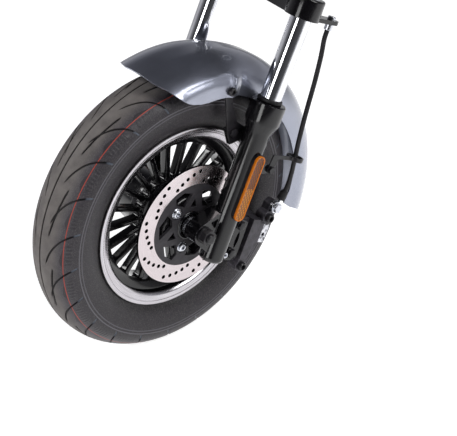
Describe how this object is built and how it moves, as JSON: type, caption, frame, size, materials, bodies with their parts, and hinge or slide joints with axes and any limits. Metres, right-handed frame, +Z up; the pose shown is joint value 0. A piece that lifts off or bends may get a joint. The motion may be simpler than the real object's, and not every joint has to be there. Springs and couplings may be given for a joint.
{
  "type": "front fork and wheel assembly",
  "caption": "Raked telescopic front fork with steering stem, spoked alloy wheel, fat road tyre, disc brake, mudguard, side reflectors and brake hose",
  "frame": {"origin": "middle of the steering head tube, on the steering axis", "axes": "+X forward, +Y to the rider's left, +Z up as it stands on the road; the steering axis leans back 27 degrees"},
  "size_m": [0.5308, 0.221, 0.6973],
  "materials": {
    "tyre_rubber": "dark grey rubber, lighter worn tread",
    "rubber": "matt black rubber",
    "black_alloy": "satin black paint on cast alloy",
    "black_steel": "satin black paint on steel",
    "bright_steel": "ground steel disc",
    "zinc_steel": "zinc-plated fasteners",
    "chrome": "hard chrome tube",
    "guard_paint": "gloss silver-grey paint on moulded plastic",
    "reflector_amber": "clear amber moulded lens",
    "black_plastic": "matt black plastic",
    "cast_alloy": "bare cast alloy"
  },
  "bodies": {
    "head": {"head_tube": "black_steel", "upper_bearing_cup": "bright_steel", "lower_bearing_cup": "bright_steel"},
    "fork": {"axle": "zinc_steel", "axle_nut": "zinc_steel", "left_axle_spacer": "zinc_steel", "right_axle_spacer": "zinc_steel", "left_lower_leg": "black_alloy", "right_lower_leg": "black_alloy", "left_stanchion": "chrome", "right_stanchion": "chrome", "left_dust_seal": "rubber", "right_dust_seal": "rubber", "stanchion_caps": "zinc_steel", "lower_yoke": "black_alloy", "steering_stem": "zinc_steel", "crown_race": "bright_steel", "stem_lock_nut": "zinc_steel", "front_mudguard": "guard_paint", "left_mudguard_stay": "black_steel", "right_mudguard_stay": "black_steel", "mudguard_bolts": "black_steel", "stay_bolts": "black_steel", "left_reflector_base": "black_plastic", "right_reflector_base": "black_plastic", "left_reflector": "reflector_amber", "right_reflector": "reflector_amber", "caliper_body": "black_alloy", "brake_pads": "black_steel", "caliper_bolts": "zinc_steel", "caliper_pins": "zinc_steel", "lug_screw": "zinc_steel", "brake_hose": "rubber", "hose_boot": "rubber", "banjo_fitting": "zinc_steel", "hose_union": "zinc_steel", "hose_clip": "black_steel", "hose_clip_bolt": "zinc_steel", "caliper_bracket": "cast_alloy"},
    "wheel": {"tyre": "tyre_rubber", "alloy_wheel": "black_alloy", "valve_stem": "rubber", "brake_disc": "bright_steel", "disc_carrier": "black_alloy", "disc_bolts": "zinc_steel"}
  },
  "joints": [
    {"name": "steering", "type": "hinge", "parent": "head", "child": "fork", "pos_m": [0, 0, 0], "axis": [-0.454, 0, 0.891], "range_deg": [-40, 40]},
    {"name": "wheel_spin", "type": "hinge", "parent": "fork", "child": "wheel", "pos_m": [0.24161, 0, -0.35613], "axis": [0, 1, 0], "continuous": true}
  ]
}
